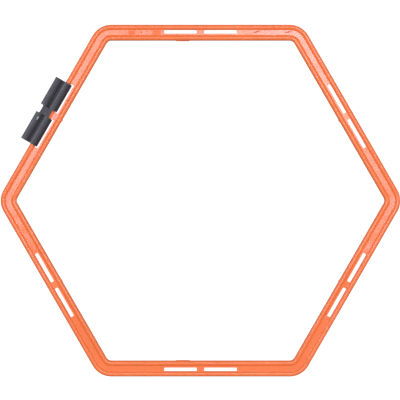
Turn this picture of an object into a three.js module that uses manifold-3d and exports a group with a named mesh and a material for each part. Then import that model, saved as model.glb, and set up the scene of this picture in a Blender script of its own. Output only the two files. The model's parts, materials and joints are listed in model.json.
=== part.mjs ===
// Hexagonal agility ring for footwork training, lying flat, with one connector clip
// snapped over the outer rail of its upper left side.
//
// Millimetres, +Z up. The ring lies on z = 0 and the origin is the hexagon's centre.
// Two sides run along X, and two corners lie on the X axis.

import * as THREE from 'three';
import { mergeVertices } from 'three/addons/utils/BufferGeometryUtils.js';
import Module from 'manifold-3d';

// Ring outline
const SIDES = 6;
const ACROSS_FLATS = 440;
const BAND_WIDTH = 20;
const OUTER_CORNER_RADIUS = 27;
const CORNER_STEPS = 8;

// Band section: a round rail along each edge and a thin flat web between them
const RAIL_RADIUS = 3.3;
const RAIL_HALF_HEIGHT = 3.2;
const WEB_HALF_THICKNESS = 1.2;
const WEB_FILLET = 1.0;
const OUTER_ARC_STEPS = 8;
const INNER_ARC_STEPS = 3;
const FILLET_STEPS = 3;

// Slots: two in each side, beside the outer rail, with a bridge of web between them
const SLOT_LENGTH = 40.9;
const SLOT_BRIDGE = 9.2;
const SLOT_FROM_EDGE = 6.4;
const SLOT_TO_EDGE = 11.2;
const SLOT_CORNER_RADIUS = 1.0;
const SLOT_CORNER_STEPS = 3;

// Trimmed moulding gates on the inner edge: a nub in the middle of each slanted side,
// and a long film gate beside the middle of the two sides that run along X
const NUB_SIDES = [0, 2, 3, 5];
const NUB_WIDTH = 4.0;
const NUB_HEIGHT = 2.0;
const NUB_STAND_OFF = 0.5;
const FILM_GATE_SIDES = [1, 4];
const FILM_GATE_CENTRE_X = -22.0;
const FILM_GATE_WIDTH = 17.5;
const FILM_GATE_HEIGHT = 1.4;
const FILM_GATE_STAND_OFF = 0.6;

// Blank moulding stamps: two shallow recesses in the web's top, on the side that faces +Y
const STAMP_SIDE = 1;
const STAMP_DEPTH = 0.2;
const STAMP_FROM_EDGE = 7.4;
const STAMP_TO_EDGE = 12.4;
const STAMPS = [
  { centreX: -86.0, width: 7.6 },
  { centreX: -55.0, width: 9.8 },
];

// Connector clip: two parallel channels, open downward, joined side by side
const CLIP_SIDE_ANGLE = 150;
const CLIP_LENGTH = 88.0;
const CLIP_CHANNEL_SPACING = 11.8;
const CLIP_CLEARANCE = 0.3;
const CLIP_WALL = 1.7;
const CLIP_FLOOR_GAP = 0.3;
const CLIP_MOUTH_HALF_WIDTH = 2.9;
const CLIP_LEAD_IN_HALF_WIDTH = 3.5;
const CLIP_VALLEY_RADIUS = 1.5;
const CLIP_SLIT_WIDTH = 1.0;
const CLIP_SLIT_TOP = 0.4;
const CLIP_OUTER_ARC_STEPS = 12;
const CLIP_INNER_ARC_STEPS = 18;
const CLIP_VALLEY_STEPS = 4;

// The clip's narrow neck, which sits over the bridge between the two slots
const NECK_LENGTH = 10.7;
const NECK_WIDTH = 13.0;
const NECK_TOP = 4.7;
const NECK_FLOOR = 1.2;
const NECK_CORNER_RADIUS = 1.2;
const NECK_CORNER_STEPS = 3;

// Colours
const ORANGE = 0xfb7c4c;
const CHARCOAL = 0x4a4a50;

// Worked out from the sizes above
const SIDE_ANGLE = 360 / SIDES;
const APOTHEM = ACROSS_FLATS / 2;
const INNER_CORNER_RADIUS = OUTER_CORNER_RADIUS - BAND_WIDTH;
const CORNER_CENTRE_DISTANCE = (APOTHEM - OUTER_CORNER_RADIUS) / Math.cos(radians(SIDE_ANGLE / 2));
const RAIL_AXIS_APOTHEM = APOTHEM - RAIL_RADIUS;
const RAIL_AXIS_HEIGHT = RAIL_HALF_HEIGHT;
const CHANNEL_RADIUS = RAIL_RADIUS + CLIP_CLEARANCE;
const CHANNEL_OUTER_RADIUS = CHANNEL_RADIUS + CLIP_WALL;
const CHANNEL_OFFSET = CLIP_CHANNEL_SPACING / 2;
const CLIP_HALF_WIDTH = CHANNEL_OFFSET + CHANNEL_OUTER_RADIUS;
const LEG_END = CLIP_FLOOR_GAP - RAIL_AXIS_HEIGHT;
const CUT_DEPTH = 30;

const wasm = await Module();
wasm.setup();

function radians(degrees) {
  return degrees * Math.PI / 180;
}

function degrees(angle) {
  return angle * 180 / Math.PI;
}

// Points along a circular arc, with both ends; it runs clockwise when the end angle is the smaller.
function arc(centreX, centreY, radius, fromDegrees, toDegrees, steps) {
  const clockwise = toDegrees < fromDegrees;
  const curve = new THREE.EllipseCurve(
    centreX, centreY, radius, radius, radians(fromDegrees), radians(toDegrees), clockwise,
  );
  return curve.getPoints(steps);
}

function mirrored(points) {
  return points.map((point) => new THREE.Vector2(-point.x, point.y)).reverse();
}

function toSolid(geometry) {
  const bare = geometry.index ? geometry.toNonIndexed() : geometry.clone();
  bare.deleteAttribute('normal');
  bare.deleteAttribute('uv');
  const merged = mergeVertices(bare, 1e-4);
  const mesh = new wasm.Mesh({
    numProp: 3,
    vertProperties: new Float32Array(merged.getAttribute('position').array),
    triVerts: new Uint32Array(merged.index.array),
  });
  mesh.merge();
  return new wasm.Manifold(mesh);
}

function toGeometry(solid) {
  const mesh = solid.getMesh();
  const geometry = new THREE.BufferGeometry();
  geometry.setAttribute('position', new THREE.BufferAttribute(mesh.vertProperties, 3));
  geometry.setIndex(new THREE.BufferAttribute(mesh.triVerts, 1));
  return geometry;
}

// A rectangle with rounded corners, centred on the origin.
function roundedRectangle(width, height, radius) {
  const right = width / 2 - radius;
  const top = height / 2 - radius;
  const shape = new THREE.Shape();
  shape.absarc(right, top, radius, 0, Math.PI / 2);
  shape.absarc(-right, top, radius, Math.PI / 2, Math.PI);
  shape.absarc(-right, -top, radius, Math.PI, Math.PI * 1.5);
  shape.absarc(right, -top, radius, Math.PI * 1.5, Math.PI * 2);
  shape.closePath();
  return shape;
}

// Upper half of the band section, from the outer edge to the inner one. x is the distance
// outward from a corner's arc centre, and y is the height above the rails' axes.
function upperHalfSection() {
  const outerRail = OUTER_CORNER_RADIUS - RAIL_RADIUS;
  const innerRail = INNER_CORNER_RADIUS + RAIL_RADIUS;
  const flatAngle = degrees(Math.asin(RAIL_HALF_HEIGHT / RAIL_RADIUS));
  const filletHeight = WEB_HALF_THICKNESS + WEB_FILLET;
  const filletReach = RAIL_RADIUS + WEB_FILLET;
  const filletAngle = degrees(Math.asin(filletHeight / filletReach));
  const filletOffset = Math.sqrt(filletReach ** 2 - filletHeight ** 2);
  return [
    ...arc(outerRail, 0, RAIL_RADIUS, 0, flatAngle, OUTER_ARC_STEPS / 2),
    ...arc(outerRail, 0, RAIL_RADIUS, 180 - flatAngle, 180 - filletAngle, INNER_ARC_STEPS),
    ...arc(outerRail - filletOffset, filletHeight, WEB_FILLET, -filletAngle, -90, FILLET_STEPS).slice(1),
    ...arc(innerRail + filletOffset, filletHeight, WEB_FILLET, -90, filletAngle - 180, FILLET_STEPS),
    ...arc(innerRail, 0, RAIL_RADIUS, filletAngle, flatAngle, INNER_ARC_STEPS).slice(1),
    ...arc(innerRail, 0, RAIL_RADIUS, 180 - flatAngle, 180, OUTER_ARC_STEPS / 2),
  ];
}

function bandSection() {
  const upper = upperHalfSection();
  const lower = upper.slice(1, -1).reverse().map((point) => new THREE.Vector2(point.x, -point.y));
  return [...upper, ...lower].map((point) => new THREE.Vector2(point.x, point.y + RAIL_AXIS_HEIGHT));
}

// A ring of revolution cut into six equal turns, each moved out to its corner of the hexagon.
// The faces between two turns stretch into the straight sides.
function hexagonalBand(section) {
  const columnsPerCorner = CORNER_STEPS + 1;
  const columns = SIDES * columnsPerCorner;
  const geometry = new THREE.LatheGeometry([...section, section[0]], columns);
  const position = geometry.getAttribute('position');
  const rows = section.length + 1;
  for (let i = 0; i < position.count; i += 1) {
    const column = Math.floor(i / rows) % columns;
    const point = section[(i % rows) % section.length];
    const cornerAngle = radians(Math.floor(column / columnsPerCorner) * SIDE_ANGLE);
    const bend = (column % columnsPerCorner) / CORNER_STEPS - 0.5;
    const angle = cornerAngle + radians(bend * SIDE_ANGLE);
    const x = CORNER_CENTRE_DISTANCE * Math.cos(cornerAngle) + point.x * Math.cos(angle);
    const y = CORNER_CENTRE_DISTANCE * Math.sin(cornerAngle) + point.x * Math.sin(angle);
    position.setXYZ(i, x, y, point.y);
  }
  return geometry;
}

// Moves a geometry from the middle of a side that faces +X to the side at the given angle.
function sideDirection(side) {
  return (side + 0.5) * SIDE_ANGLE;
}

function placeOnSide(geometry, distance, along, sideAngle) {
  geometry.translate(distance, along, 0);
  geometry.rotateZ(radians(sideAngle));
  return geometry;
}

function slotCutter(along, sideAngle) {
  const width = SLOT_TO_EDGE - SLOT_FROM_EDGE;
  const shape = roundedRectangle(width, SLOT_LENGTH, SLOT_CORNER_RADIUS);
  const geometry = new THREE.ExtrudeGeometry(shape, {
    depth: CUT_DEPTH, bevelEnabled: false, curveSegments: SLOT_CORNER_STEPS,
  });
  geometry.translate(0, 0, -CUT_DEPTH / 2);
  return placeOnSide(geometry, APOTHEM - (SLOT_FROM_EDGE + SLOT_TO_EDGE) / 2, along, sideAngle);
}

function trimmedGate(width, height, standOff, along, side) {
  const depth = RAIL_RADIUS + standOff;
  const geometry = new THREE.BoxGeometry(depth, width, height);
  const innerEdge = APOTHEM - BAND_WIDTH;
  geometry.translate(0, 0, RAIL_AXIS_HEIGHT);
  return placeOnSide(geometry, innerEdge - standOff + depth / 2, along, sideDirection(side));
}

// The film gate lies at the same X on both sides, so it changes hands between them
function filmGateAlong(side) {
  return -Math.sin(radians(sideDirection(side))) * FILM_GATE_CENTRE_X;
}

function stampRecess(stamp) {
  const depth = STAMP_TO_EDGE - STAMP_FROM_EDGE;
  const geometry = new THREE.BoxGeometry(depth, stamp.width, 2 * STAMP_DEPTH);
  geometry.translate(0, 0, RAIL_AXIS_HEIGHT + WEB_HALF_THICKNESS);
  const distance = APOTHEM - (STAMP_FROM_EDGE + STAMP_TO_EDGE) / 2;
  return placeOnSide(geometry, distance, -stamp.centreX, sideDirection(STAMP_SIDE));
}

function hexRingGeometry() {
  let solid = toSolid(hexagonalBand(bandSection()));
  const slotCentre = (SLOT_BRIDGE + SLOT_LENGTH) / 2;
  for (let side = 0; side < SIDES; side += 1) {
    for (const along of [-slotCentre, slotCentre]) {
      solid = solid.subtract(toSolid(slotCutter(along, sideDirection(side))));
    }
  }
  for (const side of NUB_SIDES) {
    solid = solid.add(toSolid(trimmedGate(NUB_WIDTH, NUB_HEIGHT, NUB_STAND_OFF, 0, side)));
  }
  for (const side of FILM_GATE_SIDES) {
    const along = filmGateAlong(side);
    solid = solid.add(toSolid(
      trimmedGate(FILM_GATE_WIDTH, FILM_GATE_HEIGHT, FILM_GATE_STAND_OFF, along, side),
    ));
  }
  for (const stamp of STAMPS) solid = solid.subtract(toSolid(stampRecess(stamp)));
  return toGeometry(solid);
}

// The two snap channels seen from their open ends. x runs across the clip, towards the ring,
// and y is the height above the channels' axes.
function clipSection() {
  const valleyReach = CHANNEL_OUTER_RADIUS + CLIP_VALLEY_RADIUS;
  const valleyHeight = Math.sqrt(valleyReach ** 2 - CHANNEL_OFFSET ** 2);
  const valleyAngle = degrees(Math.atan2(valleyHeight, CHANNEL_OFFSET));
  const lipAngle = degrees(Math.acos(CLIP_MOUTH_HALF_WIDTH / CHANNEL_RADIUS));
  const rightHalf = [
    ...arc(0, valleyHeight, CLIP_VALLEY_RADIUS, 270, 360 - valleyAngle, CLIP_VALLEY_STEPS).slice(1, -1),
    ...arc(CHANNEL_OFFSET, 0, CHANNEL_OUTER_RADIUS, 180 - valleyAngle, 0, CLIP_OUTER_ARC_STEPS),
    new THREE.Vector2(CLIP_HALF_WIDTH, LEG_END),
    new THREE.Vector2(CHANNEL_OFFSET + CLIP_LEAD_IN_HALF_WIDTH, LEG_END),
    ...arc(CHANNEL_OFFSET, 0, CHANNEL_RADIUS, -lipAngle, 180 + lipAngle, CLIP_INNER_ARC_STEPS),
    new THREE.Vector2(CHANNEL_OFFSET - CLIP_LEAD_IN_HALF_WIDTH, LEG_END),
    new THREE.Vector2(CLIP_SLIT_WIDTH / 2, LEG_END),
    new THREE.Vector2(CLIP_SLIT_WIDTH / 2, CLIP_SLIT_TOP),
  ];
  const valleyFloor = new THREE.Vector2(0, valleyHeight - CLIP_VALLEY_RADIUS);
  return new THREE.Shape([valleyFloor, ...rightHalf, ...mirrored(rightHalf)]);
}

// Extrudes a section along Y, centred, with the section's x across and its y up.
function alongRail(shape, length) {
  const geometry = new THREE.ExtrudeGeometry(shape, { depth: length, bevelEnabled: false });
  geometry.translate(0, 0, -length / 2);
  geometry.rotateX(Math.PI / 2);
  return geometry;
}

// Cuts one edge of the clip back to the neck's width.
function neckNotch(direction) {
  const depth = CLIP_HALF_WIDTH;
  const shape = roundedRectangle(depth, NECK_LENGTH, NECK_CORNER_RADIUS);
  const geometry = new THREE.ExtrudeGeometry(shape, {
    depth: CUT_DEPTH, bevelEnabled: false, curveSegments: NECK_CORNER_STEPS,
  });
  geometry.translate(direction * (NECK_WIDTH + depth) / 2, 0, -CUT_DEPTH / 2);
  return geometry;
}

// Lowers the two ridges to the neck's flat top.
function neckTopCut() {
  const geometry = new THREE.BoxGeometry(2 * CLIP_HALF_WIDTH, NECK_LENGTH, CHANNEL_OUTER_RADIUS);
  geometry.translate(0, 0, NECK_TOP + CHANNEL_OUTER_RADIUS / 2);
  return geometry;
}

// Fills the valley between the ridges along the neck.
function neckFiller() {
  const height = NECK_TOP - NECK_FLOOR;
  const width = CLIP_CHANNEL_SPACING - 2 * (CHANNEL_RADIUS + CLIP_WALL / 2);
  const narrow = new THREE.Shape([
    new THREE.Vector2(-width / 2, 0),
    new THREE.Vector2(width / 2, 0),
    new THREE.Vector2(CHANNEL_OFFSET - CLIP_WALL, height),
    new THREE.Vector2(CLIP_WALL - CHANNEL_OFFSET, height),
  ]);
  const geometry = alongRail(narrow, NECK_LENGTH);
  geometry.translate(0, 0, NECK_FLOOR);
  return geometry;
}

function connectorClipGeometry() {
  const solid = toSolid(alongRail(clipSection(), CLIP_LENGTH))
    .subtract(toSolid(neckTopCut()))
    .add(toSolid(neckFiller()))
    .subtract(toSolid(neckNotch(1)))
    .subtract(toSolid(neckNotch(-1)));
  return toGeometry(solid);
}

function namedMesh(name, geometry, color, roughness) {
  const material = new THREE.MeshStandardMaterial({ color, roughness, metalness: 0 });
  const mesh = new THREE.Mesh(geometry, material);
  mesh.name = name;
  return mesh;
}

const group = new THREE.Group();

const hexRing = namedMesh('hex_ring', hexRingGeometry(), ORANGE, 0.28);
group.add(hexRing);

// The clip's own x axis points from the clip towards the ring's centre.
const connectorClip = namedMesh('connector_clip', connectorClipGeometry(), CHARCOAL, 0.5);
const clipDistance = RAIL_AXIS_APOTHEM + CHANNEL_OFFSET;
const outward = radians(CLIP_SIDE_ANGLE);
connectorClip.position.set(clipDistance * Math.cos(outward), clipDistance * Math.sin(outward), RAIL_AXIS_HEIGHT);
connectorClip.rotation.z = outward - Math.PI;
group.add(connectorClip);

export default group;
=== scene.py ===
"""Hexagonal agility ring with one connector clip, moulded plastic seen from straight above.

The ring is one glossy orange moulding and the clip is one satin charcoal moulding. Each is a
fine mesh that stands for its plainer CAD node, in metres and in the same frame.
"""

import json
import logging
import math
from dataclasses import dataclass, field, replace
from enum import Enum

import bmesh
import bpy
from mathutils import Matrix, Vector


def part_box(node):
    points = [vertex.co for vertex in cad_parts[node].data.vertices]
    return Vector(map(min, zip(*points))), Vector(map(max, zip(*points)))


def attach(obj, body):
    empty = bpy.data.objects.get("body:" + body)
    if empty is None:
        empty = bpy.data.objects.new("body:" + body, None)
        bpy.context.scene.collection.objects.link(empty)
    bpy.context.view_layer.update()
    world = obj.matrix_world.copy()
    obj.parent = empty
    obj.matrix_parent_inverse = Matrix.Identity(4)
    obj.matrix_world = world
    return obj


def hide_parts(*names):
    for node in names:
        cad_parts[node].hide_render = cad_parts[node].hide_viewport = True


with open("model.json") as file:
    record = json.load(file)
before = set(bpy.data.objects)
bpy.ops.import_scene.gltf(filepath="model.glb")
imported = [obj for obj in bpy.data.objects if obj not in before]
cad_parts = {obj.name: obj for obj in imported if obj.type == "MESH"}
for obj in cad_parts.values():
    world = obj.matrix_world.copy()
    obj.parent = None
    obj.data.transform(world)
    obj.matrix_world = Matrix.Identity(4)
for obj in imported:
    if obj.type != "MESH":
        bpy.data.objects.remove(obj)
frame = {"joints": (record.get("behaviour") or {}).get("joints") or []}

LOG = logging.getLogger("agility_ring")
MM = 0.001
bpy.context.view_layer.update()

Point2 = tuple[float, float]
Point3 = tuple[float, float, float]
Colour = tuple[float, float, float]
Loop = list[Vector]
Faces = list[tuple[int, ...]]
Source = bpy.types.NodeSocket | float

UP = Vector((0, 0, 1))


class Body(Enum):
    """The two bodies that the pieces ride on."""

    RING = "ring"
    CLIP = "clip"


class Slot(Enum):
    """The record's material slots."""

    ORANGE = "orange_plastic"
    CHARCOAL = "charcoal_plastic"


class Merge(Enum):
    """The two ways that one closed mesh changes another."""

    JOIN = "UNION"
    CUT = "DIFFERENCE"


# ---------------------------------------------------------------------------------------------
# Outlines and meshes
# ---------------------------------------------------------------------------------------------


def arc(centre: Point2, radius: float, start: float, end: float, steps: int) -> list[Point2]:
    """Gives points along a circular arc, with both ends.

    Args:
        centre: The arc's centre.
        radius: The arc's radius.
        start: The first point's angle in degrees.
        end: The last point's angle in degrees, smaller than start for a clockwise arc.
        steps: The number of stretches between points.

    Returns:
        The steps + 1 points.
    """
    points = []
    for i in range(steps + 1):
        angle = math.radians(start + (end - start) * i / steps)
        points.append((centre[0] + radius * math.cos(angle), centre[1] + radius * math.sin(angle)))
    return points


def rounded_rectangle(width: float, height: float, radius: float, steps: int) -> list[Point2]:
    """Gives the outline of a rectangle with round corners, anticlockwise round the origin.

    Args:
        width: The size along the first axis.
        height: The size along the second axis.
        radius: The corner radius.
        steps: The number of stretches in each corner.

    Returns:
        The outline's points.
    """
    right, top = width / 2 - radius, height / 2 - radius
    corners = ((right, top), (-right, top), (-right, -top), (right, -top))
    points = []
    for quarter, corner in enumerate(corners):
        points += arc(corner, radius, quarter * 90, quarter * 90 + 90, steps)
    return points


def new_object(name: str, vertices: Loop, faces: Faces) -> bpy.types.Object:
    """Makes a mesh object from points and faces, with all faces turned outward.

    Args:
        name: The object's name.
        vertices: The points.
        faces: The point numbers of each face.

    Returns:
        The object, linked to the scene.
    """
    mesh = bpy.data.meshes.new(name)
    mesh.from_pydata([tuple(v) for v in vertices], [], faces)
    turned = bmesh.new()
    turned.from_mesh(mesh)
    bmesh.ops.recalc_face_normals(turned, faces=turned.faces)
    turned.to_mesh(mesh)
    turned.free()
    made = bpy.data.objects.new(name, mesh)
    bpy.context.scene.collection.objects.link(made)
    return made


def loft(loops: list[Loop], closed_round: bool) -> tuple[Loop, Faces]:
    """Joins closed loops of the same length, one to the next, into a closed surface.

    Args:
        loops: The loops in order.
        closed_round: True if the last loop joins the first; otherwise both ends get a cap.

    Returns:
        The points and the faces.
    """
    count = len(loops[0])
    vertices = [point for loop in loops for point in loop]
    faces = []
    joins = len(loops) if closed_round else len(loops) - 1
    for i in range(joins):
        here, there = i * count, (i + 1) % len(loops) * count
        for j in range(count):
            k = (j + 1) % count
            faces.append((here + j, here + k, there + k, there + j))
    if not closed_round:
        last = (len(loops) - 1) * count
        faces.append(tuple(range(count)))
        faces.append(tuple(range(last, last + count)))
    return vertices, faces


def combine(base: bpy.types.Object, tool: bpy.types.Object, merge: Merge) -> None:
    """Changes one closed mesh with another, and removes the tool.

    Args:
        base: The object that is changed.
        tool: The object that is joined to it or cut from it.
        merge: Whether the tool is joined or cut.
    """
    modifier = base.modifiers.new("merge", "BOOLEAN")
    modifier.object = tool
    modifier.operation = merge.value
    modifier.solver = "EXACT"
    apply_modifiers(base)
    bpy.data.objects.remove(tool)


def apply_modifiers(target: bpy.types.Object) -> None:
    """Writes an object's modifiers into its mesh.

    Args:
        target: The object whose mesh is replaced by the finished one.
    """
    bpy.context.view_layer.update()
    evaluated = target.evaluated_get(bpy.context.evaluated_depsgraph_get())
    finished = bpy.data.meshes.new_from_object(evaluated)
    target.modifiers.clear()
    target.data = finished


def shade(target: bpy.types.Object, sharp_degrees: float) -> None:
    """Shades a mesh smooth, except across edges sharper than an angle.

    Args:
        target: The object to shade.
        sharp_degrees: The smallest angle between two faces that stays crisp.
    """
    target.data.shade_smooth()
    target.data.set_sharp_from_angle(angle=math.radians(sharp_degrees))
    weighted = target.modifiers.new("weighted_normals", "WEIGHTED_NORMAL")
    weighted.keep_sharp = True
    apply_modifiers(target)


# ---------------------------------------------------------------------------------------------
# Shader node groups and finishes
# ---------------------------------------------------------------------------------------------


@dataclass(frozen=True)
class Pattern:
    """A noise texture, and the stretch of its values that becomes a mask from 0 to 1."""

    scale: float
    detail: float
    low: float
    high: float
    stretch: Point2 = (1, 1)


class Group:
    """A shader node group under construction, with named inputs and outputs."""

    def __init__(self, name: str) -> None:
        """Starts an empty group.

        Args:
            name: The group's name.
        """
        self.tree = bpy.data.node_groups.new(name, "ShaderNodeTree")
        self.source = self.tree.nodes.new("NodeGroupInput")
        self.sink = self.tree.nodes.new("NodeGroupOutput")
        self.place = self.node("ShaderNodeTexCoord").outputs["Object"]

    def node(self, kind: str, **settings: object) -> bpy.types.Node:
        """Adds a node.

        Args:
            kind: The node's type.
            **settings: Properties to set on it.

        Returns:
            The node.
        """
        made = self.tree.nodes.new(kind)
        for key, value in settings.items():
            setattr(made, key, value)
        return made

    def value(self, name: str, default: float) -> bpy.types.NodeSocket:
        """Adds a number input.

        Args:
            name: The input's name.
            default: Its value where a material sets none.

        Returns:
            The input's socket inside the group.
        """
        socket = self.tree.interface.new_socket(name, in_out="INPUT", socket_type="NodeSocketFloat")
        socket.default_value = default
        return self.source.outputs[name]

    def result(self, name: str, source: bpy.types.NodeSocket) -> None:
        """Adds a number output that a socket feeds."""
        self.tree.interface.new_socket(name, in_out="OUTPUT", socket_type="NodeSocketFloat")
        self.tree.links.new(source, self.sink.inputs[name])

    def feed(self, target: bpy.types.NodeSocket, source: Source) -> None:
        """Links a socket to a target, or sets the target to a number.

        Args:
            target: The socket that is fed.
            source: A socket or a number.
        """
        if isinstance(source, bpy.types.NodeSocket):
            self.tree.links.new(source, target)
        else:
            target.default_value = source

    def maths(self, operation: str, first: Source, second: Source) -> bpy.types.NodeSocket:
        """Adds a math node.

        Args:
            operation: The node's operation.
            first: A socket or a number.
            second: A socket or a number.

        Returns:
            The result's socket.
        """
        made = self.node("ShaderNodeMath", operation=operation)
        self.feed(made.inputs[0], first)
        self.feed(made.inputs[1], second)
        return made.outputs[0]

    def noise(self, scale: Source, detail: float, stretch: Point2 = (1, 1)) -> bpy.types.NodeSocket:
        """Adds a noise texture in the object's own coordinates.

        Args:
            scale: A socket or a number.
            detail: The noise's detail.
            stretch: Factors along the object's X and Y.

        Returns:
            The noise value's socket.
        """
        mapping = self.node("ShaderNodeMapping")
        mapping.inputs["Scale"].default_value = (*stretch, 1)
        self.tree.links.new(self.place, mapping.inputs["Vector"])
        texture = self.node("ShaderNodeTexNoise")
        texture.inputs["Detail"].default_value = detail
        self.tree.links.new(mapping.outputs[0], texture.inputs["Vector"])
        self.feed(texture.inputs["Scale"], scale)
        return texture.outputs[0]

    def ramp(self, source: bpy.types.NodeSocket, low: float, high: float) -> bpy.types.NodeSocket:
        """Stretches a value so that low becomes 0 and high becomes 1, with smooth ends.

        Args:
            source: The value.
            low: The value that becomes 0.
            high: The value that becomes 1.

        Returns:
            The stretched value's socket.
        """
        made = self.node("ShaderNodeMapRange", interpolation_type="SMOOTHSTEP")
        made.inputs["From Min"].default_value = low
        made.inputs["From Max"].default_value = high
        self.tree.links.new(source, made.inputs["Value"])
        return made.outputs["Result"]

    def mask(self, pattern: Pattern) -> bpy.types.NodeSocket:
        """Adds a pattern's noise and ramp, and returns the mask's socket."""
        noise = self.noise(pattern.scale, pattern.detail, pattern.stretch)
        return self.ramp(noise, pattern.low, pattern.high)


MOTTLE = Pattern(scale=18.0, detail=3.0, low=0.3, high=0.7)
GLOSS = Pattern(scale=90.0, detail=4.0, low=0.3, high=0.75)
SCRATCHES_ALONG_X = Pattern(scale=220.0, detail=1.0, low=0.66, high=0.72, stretch=(1.0, 9.0))
SCRATCHES_ALONG_Y = Pattern(scale=190.0, detail=1.0, low=0.67, high=0.73, stretch=(8.0, 1.0))
SCRATCHED_AREAS = Pattern(scale=35.0, detail=2.0, low=0.45, high=0.65)
DUST_SPECKS = Pattern(scale=900.0, detail=2.0, low=0.66, high=0.72)
DUSTY_AREAS = Pattern(scale=60.0, detail=2.0, low=0.5, high=0.7)


def flow_group() -> bpy.types.ShaderNodeTree:
    """Builds the moulded plastic's slow colour and gloss change, its waviness and its fine skin.

    Returns:
        A group with the input Skin Scale and the outputs Mottle, Gloss, Skin and Wave.
    """
    group = Group("moulded_flow")
    skin_scale = group.value("Skin Scale", 1500.0)
    skin_detail = 2.0
    wave_scale, wave_detail = 45.0, 1.5
    group.result("Mottle", group.mask(MOTTLE))
    group.result("Gloss", group.mask(GLOSS))
    group.result("Skin", group.noise(skin_scale, skin_detail))
    group.result("Wave", group.noise(wave_scale, wave_detail))
    return group.tree


def wear_group() -> bpy.types.ShaderNodeTree:
    """Builds the handling marks: fine scratches and a little dust.

    Returns:
        A group with the input Amount and the outputs Scratches and Dust.
    """
    group = Group("handling_wear")
    amount = group.value("Amount", 0.5)
    crossed = group.maths("MAXIMUM", group.mask(SCRATCHES_ALONG_X), group.mask(SCRATCHES_ALONG_Y))
    scratches = group.maths("MULTIPLY", crossed, group.mask(SCRATCHED_AREAS))
    group.result("Scratches", group.maths("MULTIPLY", scratches, amount))
    dust = group.maths("MULTIPLY", group.mask(DUST_SPECKS), group.mask(DUSTY_AREAS))
    group.result("Dust", group.maths("MULTIPLY", dust, amount))
    return group.tree


def scuff_and_glint_group() -> bpy.types.ShaderNodeTree:
    """Builds one short, broken, oval mark at a stated place: a scuffed spot, or a painted glint where a
    highlight falls.

    Returns:
        A group with the inputs Place, Turn and Half Size, and the output Mark.
    """
    group = Group("scuff_and_glint")
    placed = group.node("ShaderNodeMapping", vector_type="TEXTURE")
    group.tree.links.new(group.place, placed.inputs["Vector"])
    for name, socket in (("Place", "Location"), ("Turn", "Rotation"), ("Half Size", "Scale")):
        group.tree.interface.new_socket(name, in_out="INPUT", socket_type="NodeSocketVector")
        group.tree.links.new(group.source.outputs[name], placed.inputs[socket])
    distance = group.node("ShaderNodeVectorMath", operation="LENGTH")
    group.tree.links.new(placed.outputs[0], distance.inputs[0])
    break_scale, break_detail, mean_noise = 700.0, 3.0, 0.5
    full_until, gone_at = 0.6, 1.1
    broken = group.maths("SUBTRACT", group.noise(break_scale, break_detail), mean_noise)
    rough_edge = group.maths("ADD", distance.outputs["Value"], broken)
    group.result("Mark", group.maths("SUBTRACT", 1.0, group.ramp(rough_edge, full_until, gone_at)))
    return group.tree


@dataclass(frozen=True)
class ScuffAndGlint:
    """Where one mark lies on a piece, how it is turned, and how large it is; a mark is a scuffed spot or a
    painted glint.
    """

    place: Point3
    length: float
    width: float
    degrees: float = 0.0
    depth: float = 2 * MM


@dataclass(frozen=True)
class Effects:
    """The shader node groups that every finish uses."""

    flow: bpy.types.ShaderNodeTree
    wear: bpy.types.ShaderNodeTree
    scuff_and_glint: bpy.types.ShaderNodeTree


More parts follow.
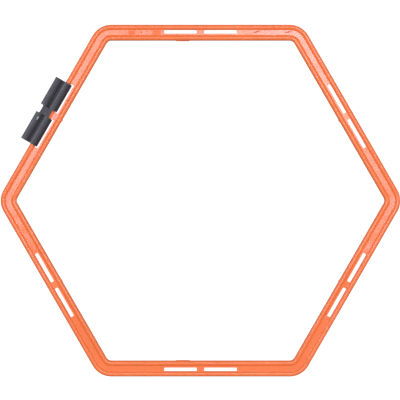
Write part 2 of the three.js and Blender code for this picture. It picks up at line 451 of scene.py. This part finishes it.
@dataclass(frozen=True)
class PlasticFinish:
    """One moulded plastic: its colours, gloss, skin and wear, and any painted glint."""

    name: str
    colour: Colour
    deep_colour: Colour
    worn_colour: Colour
    gloss_roughness: float
    dull_roughness: float
    worn_roughness: float
    skin_scale: float
    skin_strength: float
    wear: float
    scuff_and_glint_colour: Colour
    scuff_and_glint_roughness: float
    scuffs_and_glints: tuple[ScuffAndGlint, ...] = ()
    wave_height: float = 0.6 * MM
    skin_height: float = 0.1 * MM

    def material(self, effects: Effects) -> bpy.types.Material:
        """Builds the material.

        Args:
            effects: The shared node groups.

        Returns:
            The finished material.
        """
        material = bpy.data.materials.new(self.name)
        material.use_nodes = True
        nodes, links = material.node_tree.nodes, material.node_tree.links
        shader = nodes["Principled BSDF"]
        moulded = nodes.new("ShaderNodeGroup")
        moulded.node_tree = effects.flow
        moulded.inputs["Skin Scale"].default_value = self.skin_scale
        handled = nodes.new("ShaderNodeGroup")
        handled.node_tree = effects.wear
        handled.inputs["Amount"].default_value = self.wear

        colour = self.blended(nodes, links, moulded.outputs["Mottle"], self.colour, self.deep_colour)
        for mark in ("Scratches", "Dust"):
            colour = self.blended(nodes, links, handled.outputs[mark], colour, self.worn_colour)

        gloss = nodes.new("ShaderNodeMapRange")
        gloss.inputs["To Min"].default_value = self.gloss_roughness
        gloss.inputs["To Max"].default_value = self.dull_roughness
        links.new(moulded.outputs["Gloss"], gloss.inputs["Value"])
        scratched = handled.outputs["Scratches"]
        roughness = self.dulled(nodes, links, scratched, gloss.outputs["Result"], self.worn_roughness)
        # Each mark blends its colour and roughness in: scuffed spots on the ring, and on the clip a painted
        # glint, a pale glossy spot that stands in for a highlight.
        for scuff_and_glint in self.scuffs_and_glints:
            mark = nodes.new("ShaderNodeGroup")
            mark.node_tree = effects.scuff_and_glint
            mark.inputs["Place"].default_value = scuff_and_glint.place
            mark.inputs["Turn"].default_value = (0, 0, math.radians(scuff_and_glint.degrees))
            mark.inputs["Half Size"].default_value = (scuff_and_glint.length / 2, scuff_and_glint.width / 2, scuff_and_glint.depth)
            colour = self.blended(nodes, links, mark.outputs["Mark"], colour, self.scuff_and_glint_colour)
            roughness = self.dulled(nodes, links, mark.outputs["Mark"], roughness, self.scuff_and_glint_roughness)
        links.new(colour, shader.inputs["Base Color"])
        links.new(roughness, shader.inputs["Roughness"])

        wave = nodes.new("ShaderNodeBump")
        wave.inputs["Distance"].default_value = self.wave_height
        links.new(moulded.outputs["Wave"], wave.inputs["Height"])
        bump = nodes.new("ShaderNodeBump")
        bump.inputs["Strength"].default_value = self.skin_strength
        bump.inputs["Distance"].default_value = self.skin_height
        links.new(moulded.outputs["Skin"], bump.inputs["Height"])
        links.new(wave.outputs["Normal"], bump.inputs["Normal"])
        links.new(bump.outputs["Normal"], shader.inputs["Normal"])
        return material

    @staticmethod
    def dulled(nodes: bpy.types.Nodes, links: bpy.types.NodeLinks, mask: bpy.types.NodeSocket,
               roughness: bpy.types.NodeSocket, marked: float) -> bpy.types.NodeSocket:
        """Mixes a roughness with that of a mark.

        Args:
            nodes: The material's nodes.
            links: The material's links.
            mask: The mark's mask.
            roughness: The roughness outside the mark.
            marked: The roughness on the mark.

        Returns:
            The mixed roughness's socket.
        """
        mix = nodes.new("ShaderNodeMix")
        links.new(mask, mix.inputs["Factor"])
        links.new(roughness, mix.inputs["A"])
        mix.inputs["B"].default_value = marked
        return mix.outputs["Result"]

    @staticmethod
    def blended(nodes: bpy.types.Nodes, links: bpy.types.NodeLinks, mask: bpy.types.NodeSocket,
                first: bpy.types.NodeSocket | Colour, second: Colour) -> bpy.types.NodeSocket:
        """Mixes two colours by a mask.

        Args:
            nodes: The material's nodes.
            links: The material's links.
            mask: The mask's socket.
            first: The colour or socket where the mask is 0.
            second: The colour where the mask is 1.

        Returns:
            The mixed colour's socket.
        """
        # A Mix node keeps its colour sockets after those for numbers and vectors of the same names.
        first_input, second_input, colour_output = 6, 7, 2
        mix = nodes.new("ShaderNodeMix")
        mix.data_type = "RGBA"
        links.new(mask, mix.inputs["Factor"])
        if isinstance(first, bpy.types.NodeSocket):
            links.new(first, mix.inputs[first_input])
        else:
            mix.inputs[first_input].default_value = (*first, 1)
        mix.inputs[second_input].default_value = (*second, 1)
        return mix.outputs[colour_output]


ORANGE_FINISH = PlasticFinish(
    name="orange_gloss_plastic",
    colour=(0.965, 0.2, 0.046),
    deep_colour=(0.925, 0.184, 0.041),
    worn_colour=(0.95, 0.38, 0.22),
    gloss_roughness=0.14,
    dull_roughness=0.2,
    worn_roughness=0.4,
    skin_scale=900.0,
    skin_strength=0.02,
    wear=0.12,
    scuff_and_glint_colour=(0.60, 0.12, 0.04),
    scuff_and_glint_roughness=0.6,
    scuffs_and_glints=(
        ScuffAndGlint((69.9 * MM, 210.8 * MM, 4.4 * MM), 9.8 * MM, 2.0 * MM, 15.0),
        ScuffAndGlint((109.4 * MM, 210.6 * MM, 4.4 * MM), 10.8 * MM, 1.9 * MM, 7.0),
        ScuffAndGlint((-74.2 * MM, 210.6 * MM, 4.4 * MM), 2.0 * MM, 3.0 * MM),
        ScuffAndGlint((-66.4 * MM, 210.6 * MM, 4.4 * MM), 1.8 * MM, 3.0 * MM),
    ),
)

STAMPED_FINISH = replace(
    ORANGE_FINISH,
    name="orange_stamped_plastic",
    gloss_roughness=0.55,
    dull_roughness=0.65,
    skin_strength=0.3,
    scuffs_and_glints=(),
)

CHARCOAL_FINISH = PlasticFinish(
    name="charcoal_satin_plastic",
    colour=(0.029, 0.028, 0.034),
    deep_colour=(0.024, 0.023, 0.028),
    worn_colour=(0.10, 0.10, 0.11),
    gloss_roughness=0.58,
    dull_roughness=0.66,
    worn_roughness=0.6,
    skin_scale=2600.0,
    skin_strength=0.25,
    wear=0.5,
    # The clip's one pale, glossy mark near the notch is a painted glint: a highlight painted into its
    # colour.
    scuff_and_glint_colour=(0.30, 0.31, 0.32),
    scuff_and_glint_roughness=0.35,
    scuffs_and_glints=(ScuffAndGlint((-203.0 * MM, 103.0 * MM, 8.0 * MM), 5.5 * MM, 1.8 * MM, 60.0, 4 * MM),),
)


# ---------------------------------------------------------------------------------------------
# The ring
# ---------------------------------------------------------------------------------------------


@dataclass(frozen=True)
class Stamp:
    """One blank stamp: its centre along the frame's X axis, and its length."""

    x: float
    length: float


@dataclass(frozen=True)
class Gate:
    """The trimmed stub of a moulding gate on the inner edge of some sides.

    Its x is the stub's centre along the frame's X axis, on a side that lies along that axis.
    """

    sides: tuple[int, ...]
    width: float
    stand_off: float
    rise: float
    fall: float
    slant: float = 0.3 * MM
    x: float = 0.0

    def loops(self, inner_edge: float, root: float, along: float) -> list[Loop]:
        """Gives the stub's end and root for the side that faces +X, at the rails' mid height.

        Args:
            inner_edge: The inner edge's distance from the ring's centre.
            root: How far the stub reaches into the rail.
            along: The stub's centre along the side.

        Returns:
            The loops of the trimmed end, the edge and the root.
        """
        loops = []
        for x, drop, half in (
            (inner_edge - self.stand_off, self.slant, self.width / 2 - self.stand_off),
            (inner_edge - self.stand_off / 2, self.slant / 2, self.width / 2 - self.stand_off / 2),
            (inner_edge + root, 0.0, self.width / 2),
        ):
            top, bottom = self.rise - drop, -self.fall
            corners = ((-half, bottom), (half, bottom), (half, top), (-half, top))
            loops.append([Vector((x, along + y, z)) for y, z in corners])
        return loops


@dataclass
class AgilityRing:
    """The orange ring: two round rails with a flat, slotted web between them."""

    node: str = "hex_ring"
    sides: int = 6
    band_width: float = 20 * MM
    corner_radius: float = 27 * MM
    corner_steps: int = 26
    rail_radius: float = 3.3 * MM
    rail_steps: int = 22
    rail_half_height: float = 3.2 * MM
    web_half_thickness: float = 1.2 * MM
    web_fillet: float = 1.0 * MM
    web_margin: float = 0.25 * MM
    fillet_steps: int = 7
    slot_length: float = 40.9 * MM
    slot_bridge: float = 9.2 * MM
    slot_from_edge: float = 6.55 * MM
    slot_to_edge: float = 11.2 * MM
    slot_corner: float = 1.0 * MM
    slot_corner_steps: int = 7
    slot_lip: float = 0.3 * MM
    slot_lip_steps: int = 4
    stamp_from_edge: float = 7.4 * MM
    stamp_to_edge: float = 12.4 * MM
    stamp_depth: float = 0.2 * MM
    stamp_corner: float = 0.6 * MM
    stamp_corner_steps: int = 7
    stamp_side: int = 1
    stamps: tuple[Stamp, ...] = (Stamp(x=-86.0 * MM, length=7.6 * MM), Stamp(x=-55.0 * MM, length=9.8 * MM))
    nub: Gate = Gate(sides=(0, 2, 3, 5), width=4.0 * MM, stand_off=0.5 * MM, rise=0.9 * MM, fall=0.9 * MM)
    film_gate: Gate = Gate(
        sides=(1, 4),
        width=17.5 * MM,
        stand_off=0.6 * MM,
        rise=0.65 * MM,
        fall=0.7 * MM,
        slant=1.2 * MM,
        x=-22.0 * MM,
    )
    sharp_degrees: float = 38.0
    level_normal: float = 0.99
    apothem: float = field(init=False)
    mid_height: float = field(init=False)

    def __post_init__(self) -> None:
        """Takes the ring's overall size and height from its CAD node."""
        low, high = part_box(self.node)
        self.apothem = (high.y - low.y) / 2
        self.mid_height = (high.z + low.z) / 2

    @property
    def side_angle(self) -> float:
        """The angle between two neighbouring sides, in degrees."""
        return 360 / self.sides

    def rail(self, centre: float, start: float, end: float, steps: int) -> list[Point2]:
        """Gives part of a rail's outline, an ellipse that is a little lower than it is wide."""
        flatness = self.rail_half_height / self.rail_radius
        return [(x, z * flatness) for x, z in arc((centre, 0), self.rail_radius, start, end, steps)]

    def upper_section(self) -> list[Point2]:
        """Gives the upper half of the band's section, from the outer edge to the inner one.

        Returns:
            Points of distance from the corner's arc centre and height above the rails' axes.
        """
        outer = self.corner_radius - self.rail_radius
        inner = self.corner_radius - self.band_width + self.rail_radius
        height = self.web_half_thickness + self.web_fillet
        reach = self.rail_radius + self.web_fillet
        angle = math.degrees(math.asin(height / reach))
        offset = math.sqrt(reach**2 - height**2)
        left, right = inner + offset, outer - offset
        return [
            *self.rail(outer, 0, 180 - angle, self.rail_steps),
            *arc((right, height), self.web_fillet, -angle, -90, self.fillet_steps)[1:],
            (right - self.web_margin, self.web_half_thickness),
            (left + self.web_margin, self.web_half_thickness),
            *arc((left, height), self.web_fillet, -90, angle - 180, self.fillet_steps),
            *self.rail(inner, angle, 180, self.rail_steps)[1:],
        ]

    def band(self) -> bpy.types.Object:
        """Builds the ring's band without its slots, corner by corner.

        Returns:
            The band's closed mesh.
        """
        upper = self.upper_section()
        section = upper + [(x, -z) for x, z in reversed(upper[1:-1])]
        centre_distance = (self.apothem - self.corner_radius) / math.cos(math.radians(self.side_angle / 2))
        loops = []
        for corner in range(self.sides):
            corner_angle = math.radians(corner * self.side_angle)
            centre = Vector((math.cos(corner_angle), math.sin(corner_angle), 0)) * centre_distance
            for step in range(self.corner_steps + 1):
                angle = corner_angle + math.radians((step / self.corner_steps - 0.5) * self.side_angle)
                outward = Vector((math.cos(angle), math.sin(angle), 0))
                loops.append([centre + outward * x + UP * (self.mid_height + z) for x, z in section])
        return new_object("agility_ring", *loft(loops, closed_round=True))

    def facing(self, side: int) -> float:
        """Gives the angle in radians, anticlockwise from +X, that a numbered side faces."""
        return math.radians((side + 0.5) * self.side_angle)

    def to_side(self, side: int, points: Loop) -> Loop:
        """Turns points from a side that would face +X to a numbered side."""
        turn = Matrix.Rotation(self.facing(side), 3, "Z")
        return [turn @ point for point in points]

    def solids(self, name: str, placed: list[tuple[int, list[Loop]]]) -> bpy.types.Object:
        """Builds closed solids on the sides as one mesh.

        Args:
            name: The mesh's name.
            placed: Each solid's side number and loops, for the side that faces +X, at mid height.

        Returns:
            The mesh of all the solids.
        """
        vertices, faces = [], []
        lift = UP * self.mid_height
        for side, loops in placed:
            turned = [self.to_side(side, [point + lift for point in loop]) for loop in loops]
            points, around = loft(turned, closed_round=False)
            faces += [tuple(len(vertices) + i for i in face) for face in around]
            vertices += points
        return new_object(name, vertices, faces)

    def slot_loops(self, along: float) -> list[Loop]:
        """Gives the loops of one slot's cutter, which rounds the web's edges as it cuts.

        Args:
            along: The slot's centre along its side.

        Returns:
            The loops from above the web to below it.
        """
        width = self.slot_to_edge - self.slot_from_edge
        centre = self.apothem - (self.slot_from_edge + self.slot_to_edge) / 2
        wall = self.apothem - self.slot_from_edge
        above_rails = 2 * self.rail_radius
        levels = [(above_rails, self.slot_lip)]
        for angle in range(self.slot_lip_steps + 1):
            swing = math.radians(90 * angle / self.slot_lip_steps)
            height = self.web_half_thickness - self.slot_lip + self.slot_lip * math.cos(swing)
            levels.append((height, self.slot_lip * (1 - math.sin(swing))))
        levels += [(-height, flare) for height, flare in reversed(levels)]
        loops = []
        for height, flare in levels:
            size = (width + 2 * flare, self.slot_length + 2 * flare)
            outline = rounded_rectangle(*size, self.slot_corner + flare, self.slot_corner_steps)
            # The slot's outer wall stays plain, beside the rail.
            loops.append([Vector((min(centre + x, wall), along + y, height)) for x, y in outline])
        return loops

    def slots(self) -> bpy.types.Object:
        """Builds the cutters of all the slots.

        Returns:
            The cutters, as one mesh.
        """
        along = (self.slot_bridge + self.slot_length) / 2
        placed = [(side, self.slot_loops(way * along)) for side in range(self.sides) for way in (-1, 1)]
        return self.solids("slot_cutters", placed)

    def gates(self) -> bpy.types.Object:
        """Builds the trimmed moulding gates on the inner edges.

        Returns:
            The stubs, as one mesh.
        """
        inner_edge = self.apothem - self.band_width
        placed = []
        for gate in (self.nub, self.film_gate):
            for side in gate.sides:
                # Turned to its side, the local Y axis points along -X at the rear and +X at the front.
                along = -math.sin(self.facing(side)) * gate.x
                placed.append((side, gate.loops(inner_edge, self.rail_radius, along)))
        return self.solids("gate_stubs", placed)

    def stamp_recesses(self) -> bpy.types.Object:
        """Builds the cutters of the blank stamps, which are wider at the top.

        Returns:
            The cutters, as one mesh.
        """
        centre = self.apothem - (self.stamp_from_edge + self.stamp_to_edge) / 2
        width = self.stamp_to_edge - self.stamp_from_edge
        placed = []
        for stamp in self.stamps:
            loops = []
            for height, grow in ((-self.stamp_depth, 0.0), (self.stamp_depth, 2 * self.stamp_depth)):
                size = (width + grow, stamp.length + grow)
                outline = rounded_rectangle(*size, self.stamp_corner, self.stamp_corner_steps)
                level = self.web_half_thickness + height
                # Turned to the rear side, the local Y axis points along -X.
                loops.append([Vector((centre + x, y - stamp.x, level)) for x, y in outline])
            placed.append((self.stamp_side, loops))
        return self.solids("stamp_cutters", placed)

    def mark_stamps(self, ring: bpy.types.Object) -> None:
        """Gives the floors of the blank stamps the second material.

        Args:
            ring: The finished ring.
        """
        floor = self.mid_height + self.web_half_thickness - self.stamp_depth
        tolerance = self.stamp_depth / 4
        for polygon in ring.data.polygons:
            if abs(polygon.center.z - floor) < tolerance and polygon.normal.z > self.level_normal:
                polygon.material_index = 1

    def build(self, gloss: bpy.types.Material, stamped: bpy.types.Material) -> bpy.types.Object:
        """Builds and dresses the ring.

        Args:
            gloss: The orange plastic.
            stamped: The duller orange of the blank stamps' floors.

        Returns:
            The finished ring, riding on its body.
        """
        ring = self.band()
        combine(ring, self.gates(), Merge.JOIN)
        combine(ring, self.slots(), Merge.CUT)
        combine(ring, self.stamp_recesses(), Merge.CUT)
        shade(ring, self.sharp_degrees)
        ring.data.materials.clear()
        ring.data.materials.append(gloss)
        ring.data.materials.append(stamped)
        self.mark_stamps(ring)
        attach(ring, Body.RING.value)
        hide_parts(self.node)
        return ring


# ---------------------------------------------------------------------------------------------
# The clip
# ---------------------------------------------------------------------------------------------


@dataclass
class ConnectorClip:
    """The charcoal clip: two snap channels in two lobes, joined by a narrow neck."""

    node: str = "connector_clip"
    side_angle: float = 150.0
    length: float = 88.0 * MM
    channel_spacing: float = 11.8 * MM
    channel_radius: float = 3.6 * MM
    wall: float = 1.68 * MM
    mouth_half_width: float = 2.9 * MM
    lead_in_half_width: float = 3.5 * MM
    valley_radius: float = 1.5 * MM
    slit_width: float = 1.0 * MM
    slit_top: float = 0.4 * MM
    arc_steps: int = 30
    valley_steps: int = 7
    neck_length: float = 10.7 * MM
    neck_width: float = 13.0 * MM
    neck_top: float = 4.7 * MM
    neck_floor: float = 1.2 * MM
    neck_ramp: float = 1.6 * MM
    notch_corner: float = 1.4 * MM
    notch_corner_steps: int = 8
    edge_radius: float = 0.3 * MM
    edge_steps: int = 3
    sharp_degrees: float = 40.0
    axis: Vector = field(init=False)
    leg_end: float = field(init=False)

    def __post_init__(self) -> None:
        """Takes the rail's axis from the joint, and the legs' ends from the CAD node."""
        joint = next(joint for joint in frame["joints"] if joint["name"] == "clip_swivel")
        self.axis = Vector(joint["pos_m"])
        self.leg_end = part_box(self.node)[0].z - self.axis.z

    @property
    def offset(self) -> float:
        """Half the distance between the two channels' axes."""
        return self.channel_spacing / 2

    @property
    def outer_radius(self) -> float:
        """The outside radius of a channel's wall."""
        return self.channel_radius + self.wall

    @property
    def half_width(self) -> float:
        """Half the clip's overall width."""
        return self.offset + self.outer_radius

    def section(self) -> list[Point2]:
        """Gives the outline of both channels, seen from their open ends.

        Returns:
            Points of distance across the clip, towards the ring, and height above the axes.
        """
        reach = self.outer_radius + self.valley_radius
        height = math.sqrt(reach**2 - self.offset**2)
        valley = math.degrees(math.atan2(height, self.offset))
        lip = math.degrees(math.acos(self.mouth_half_width / self.channel_radius))
        centre = (self.offset, 0)
        right = [
            *arc((0, height), self.valley_radius, 270, 360 - valley, self.valley_steps)[1:-1],
            *arc(centre, self.outer_radius, 180 - valley, 0, self.arc_steps),
            (self.half_width, self.leg_end),
            (self.offset + self.lead_in_half_width, self.leg_end),
            *arc(centre, self.channel_radius, -lip, 180 + lip, self.arc_steps),
            (self.offset - self.lead_in_half_width, self.leg_end),
            (self.slit_width / 2, self.leg_end),
            (self.slit_width / 2, self.slit_top),
        ]
        return [(0, height - self.valley_radius), *right, *[(-x, z) for x, z in reversed(right)]]

    def prism(self, name: str, outline: list[Point2], half_length: float) -> bpy.types.Object:
        """Builds a solid with one outline all along the rail, in the clip's own frame."""
        loops = [[Vector((x, y, z)) for x, z in outline] for y in (-half_length, half_length)]
        return new_object(name, *loft(loops, closed_round=False))

    def notch(self, direction: int) -> bpy.types.Object:
        """Builds the cutter that narrows the clip to its neck along one edge.

        Args:
            direction: 1 for the edge towards the ring, -1 for the other one.

        Returns:
            The cutter.
        """
        depth = 2 * self.half_width
        outline = rounded_rectangle(depth, self.neck_length, self.notch_corner, self.notch_corner_steps)
        centre = direction * (self.neck_width + depth) / 2
        ends = (-self.half_width, self.half_width)
        loops = [[Vector((centre + x, y, z)) for x, y in outline] for z in ends]
        return new_object("notch_cutter", *loft(loops, closed_round=False))

    def neck_cut(self) -> bpy.types.Object:
        """Builds the cutter that ramps the ridges down to the neck's flat top.

        Returns:
            The cutter.
        """
        ridge = self.outer_radius - self.neck_top
        above = 3 * ridge
        half = self.neck_length / 2
        ramp_end = half + self.neck_ramp
        outline = [
            (-half, 0),
            (half, 0),
            (ramp_end, ridge),
            (ramp_end, above),
            (-ramp_end, above),
            (-ramp_end, ridge),
        ]
        ends = (-self.channel_spacing, self.channel_spacing)
        loops = [[Vector((x, y, self.neck_top + z)) for y, z in outline] for x in ends]
        return new_object("neck_cutter", *loft(loops, closed_round=False))

    def neck_fill(self) -> bpy.types.Object:
        """Builds the block that fills the valley along the neck and ramps down into it.

        Returns:
            The block, which is wider at its top than at its foot.
        """
        half = self.neck_length / 2
        ramp_end = half + self.neck_ramp
        foot = self.offset - self.channel_radius - self.wall / 2
        shoulder = self.offset - self.wall
        loops = []
        for direction in (-1, 1):
            loops.append([
                Vector((direction * foot, -ramp_end, self.neck_floor)),
                Vector((direction * foot, ramp_end, self.neck_floor)),
                Vector((direction * shoulder, half, self.neck_top)),
                Vector((direction * shoulder, -half, self.neck_top)),
            ])
        return new_object("neck_block", *loft(loops, closed_round=False))

    def build(self, material: bpy.types.Material) -> bpy.types.Object:
        """Builds and dresses the clip.

        Args:
            material: The charcoal plastic.

        Returns:
            The finished clip, riding on its body.
        """
        clip = self.prism("connector_clip_shell", self.section(), self.length / 2)
        combine(clip, self.neck_fill(), Merge.JOIN)
        combine(clip, self.neck_cut(), Merge.CUT)
        for direction in (-1, 1):
            combine(clip, self.notch(direction), Merge.CUT)
        self.soften(clip)
        outward = math.radians(self.side_angle)
        centre = self.axis + Vector((math.cos(outward), math.sin(outward), 0)) * self.offset
        clip.data.transform(Matrix.Translation(centre) @ Matrix.Rotation(outward - math.pi, 4, "Z"))
        shade(clip, self.sharp_degrees)
        clip.data.materials.clear()
        clip.data.materials.append(material)
        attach(clip, Body.CLIP.value)
        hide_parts(self.node)
        return clip

    def soften(self, clip: bpy.types.Object) -> None:
        """Rounds the clip's crisp edges.

        Args:
            clip: The clip, in its own frame.
        """
        bevel = clip.modifiers.new("edges", "BEVEL")
        bevel.width = self.edge_radius
        bevel.segments = self.edge_steps
        bevel.limit_method = "ANGLE"
        bevel.angle_limit = math.radians(self.sharp_degrees)
        bevel.use_clamp_overlap = True
        apply_modifiers(clip)


# ---------------------------------------------------------------------------------------------
# The studio
# ---------------------------------------------------------------------------------------------


@dataclass(frozen=True)
class SoftBox:
    """One rectangular soft light that faces straight down or towards the ring's centre."""

    name: str
    place: Point3
    size: Point2
    radiance: float
    overhead: bool = False
    tint: Colour = (0.98, 0.98, 1.17)

    def build(self) -> bpy.types.Object:
        """Builds the light, and turns it towards the ring's centre if it isn't an overhead one.

        Returns:
            The light.
        """
        data = bpy.data.lights.new(self.name, "AREA")
        data.shape = "RECTANGLE"
        data.size, data.size_y = self.size
        data.energy = self.radiance * math.pi * self.size[0] * self.size[1]
        data.color = self.tint
        light = bpy.data.objects.new(self.name, data)
        light.location = self.place
        if not self.overhead:
            light.rotation_euler = Vector(self.place).to_track_quat("Z", "Y").to_euler()
        bpy.context.scene.collection.objects.link(light)
        return light


@dataclass
class Studio:
    """The pale floor, the lights and the camera straight above the ring."""

    camera_height: float = 1.5
    view_width: float = 0.5014
    view_centre: Point2 = (-0.63 * MM, 0.75 * MM)
    sensor: float = 36.0
    floor_size: float = 6.0
    floor_grey: float = 0.2
    sky_low: float = 0.1
    sky_high: float = 0.9
    clip_kicker: SoftBox = SoftBox("clip_kicker", (-2.6, 1.3, 1.25), (1.0, 1.0), 24.0)
    boxes: tuple[SoftBox, ...] = (
        SoftBox("ceiling_left", (-0.64, 0.375, 3.3), (0.72, 1.01), 5.7, overhead=True),
        SoftBox("ceiling_middle", (-0.10, 0.375, 3.3), (0.36, 1.01), 3.1, overhead=True),
        SoftBox("ceiling_right_rear", (0.49, 0.64, 3.3), (0.82, 0.48), 9.8, overhead=True),
        SoftBox("ceiling_right_front", (0.54, 0.115, 3.3), (0.92, 0.57), 4.7, overhead=True),
        SoftBox("left_box", (-2.6, 1.1, 1.25), (1.2, 1.0), 2.5),
        SoftBox("right_box", (2.6, 0.3, 1.25), (1.2, 1.0), 2.5),
    )

    def floor(self) -> None:
        """Builds the floor, which isn't part of the object, and its material, clear from below."""
        half = self.floor_size / 2
        corners = [Vector((x * half, y * half, 0)) for x, y in ((-1, -1), (1, -1), (1, 1), (-1, 1))]
        floor = new_object("floor", corners, [(0, 1, 2, 3)])
        material = bpy.data.materials.new("pale_floor")
        material.use_nodes = True
        nodes, links = material.node_tree.nodes, material.node_tree.links
        shader = nodes["Principled BSDF"]
        shader.inputs["Base Color"].default_value = (self.floor_grey,) * 3 + (1,)
        shader.inputs["Roughness"].default_value = 1.0
        shader.inputs["Specular IOR Level"].default_value = 0.0
        shader.inputs["Emission Color"].default_value = (1, 1, 1, 1)
        seen = nodes.new("ShaderNodeLightPath")
        links.new(seen.outputs["Is Camera Ray"], shader.inputs["Emission Strength"])
        side = nodes.new("ShaderNodeNewGeometry")
        one_sided = nodes.new("ShaderNodeMixShader")
        links.new(side.outputs["Backfacing"], one_sided.inputs["Fac"])
        links.new(shader.outputs["BSDF"], one_sided.inputs[1])
        links.new(nodes.new("ShaderNodeBsdfTransparent").outputs["BSDF"], one_sided.inputs[2])
        links.new(one_sided.outputs["Shader"], nodes["Material Output"].inputs["Surface"])
        floor.data.materials.append(material)

    def sky(self) -> None:
        """Builds a soft surround, dim at the horizon, and plain white where the camera sees it."""
        world = bpy.data.worlds.new("studio_surround")
        world.use_nodes = True
        nodes, links = world.node_tree.nodes, world.node_tree.links
        place = nodes.new("ShaderNodeTexCoord")
        parts = nodes.new("ShaderNodeSeparateXYZ")
        level = nodes.new("ShaderNodeMapRange")
        level.inputs["To Min"].default_value = self.sky_low
        level.inputs["To Max"].default_value = self.sky_high
        links.new(place.outputs["Generated"], parts.inputs[0])
        height = nodes.new("ShaderNodeMath")
        height.operation = "ABSOLUTE"
        links.new(parts.outputs["Z"], height.inputs[0])
        links.new(height.outputs[0], level.inputs["Value"])
        seen = nodes.new("ShaderNodeLightPath")
        strength = nodes.new("ShaderNodeMath")
        strength.operation = "MAXIMUM"
        links.new(level.outputs["Result"], strength.inputs[0])
        links.new(seen.outputs["Is Camera Ray"], strength.inputs[1])
        links.new(strength.outputs[0], nodes["Background"].inputs["Strength"])
        nodes["Background"].inputs["Color"].default_value = (1, 1, 1, 1)
        bpy.context.scene.world = world

    def camera(self) -> None:
        """Builds the camera, straight above the ring and looking down."""
        data = bpy.data.cameras.new("camera")
        data.sensor_width = self.sensor
        data.lens = self.sensor * self.camera_height / self.view_width
        camera = bpy.data.objects.new("camera", data)
        camera.location = (*self.view_centre, self.camera_height)
        bpy.context.scene.collection.objects.link(camera)
        bpy.context.scene.camera = camera

    def build(self) -> None:
        """Builds the whole studio, with plain colour rendering."""
        self.camera()
        self.floor()
        self.sky()
        for box in self.boxes:
            box.build()
        bpy.context.scene.view_settings.view_transform = "Standard"


def only_on(light: bpy.types.Object, piece: bpy.types.Object) -> None:
    """Limits a light to one piece.

    Args:
        light: The light.
        piece: The only piece that it lights.
    """
    lit = bpy.data.collections.new(f"lit_by_{light.name}")
    lit.objects.link(piece)
    light.light_linking.receiver_collection = lit


def report(piece: bpy.types.Object) -> None:
    """Logs a piece's name and face count."""
    LOG.info("%s: %d faces", piece.name, len(piece.data.polygons))


def main() -> None:
    """Builds the studio, the ring and the clip."""
    logging.basicConfig(level=logging.INFO, format="%(message)s")
    studio = Studio()
    studio.build()
    effects = Effects(flow_group(), wear_group(), scuff_and_glint_group())
    report(AgilityRing().build(ORANGE_FINISH.material(effects), STAMPED_FINISH.material(effects)))
    clip = ConnectorClip().build(CHARCOAL_FINISH.material(effects))
    report(clip)
    only_on(studio.clip_kicker.build(), clip)


if __name__ == "__main__":
    main()
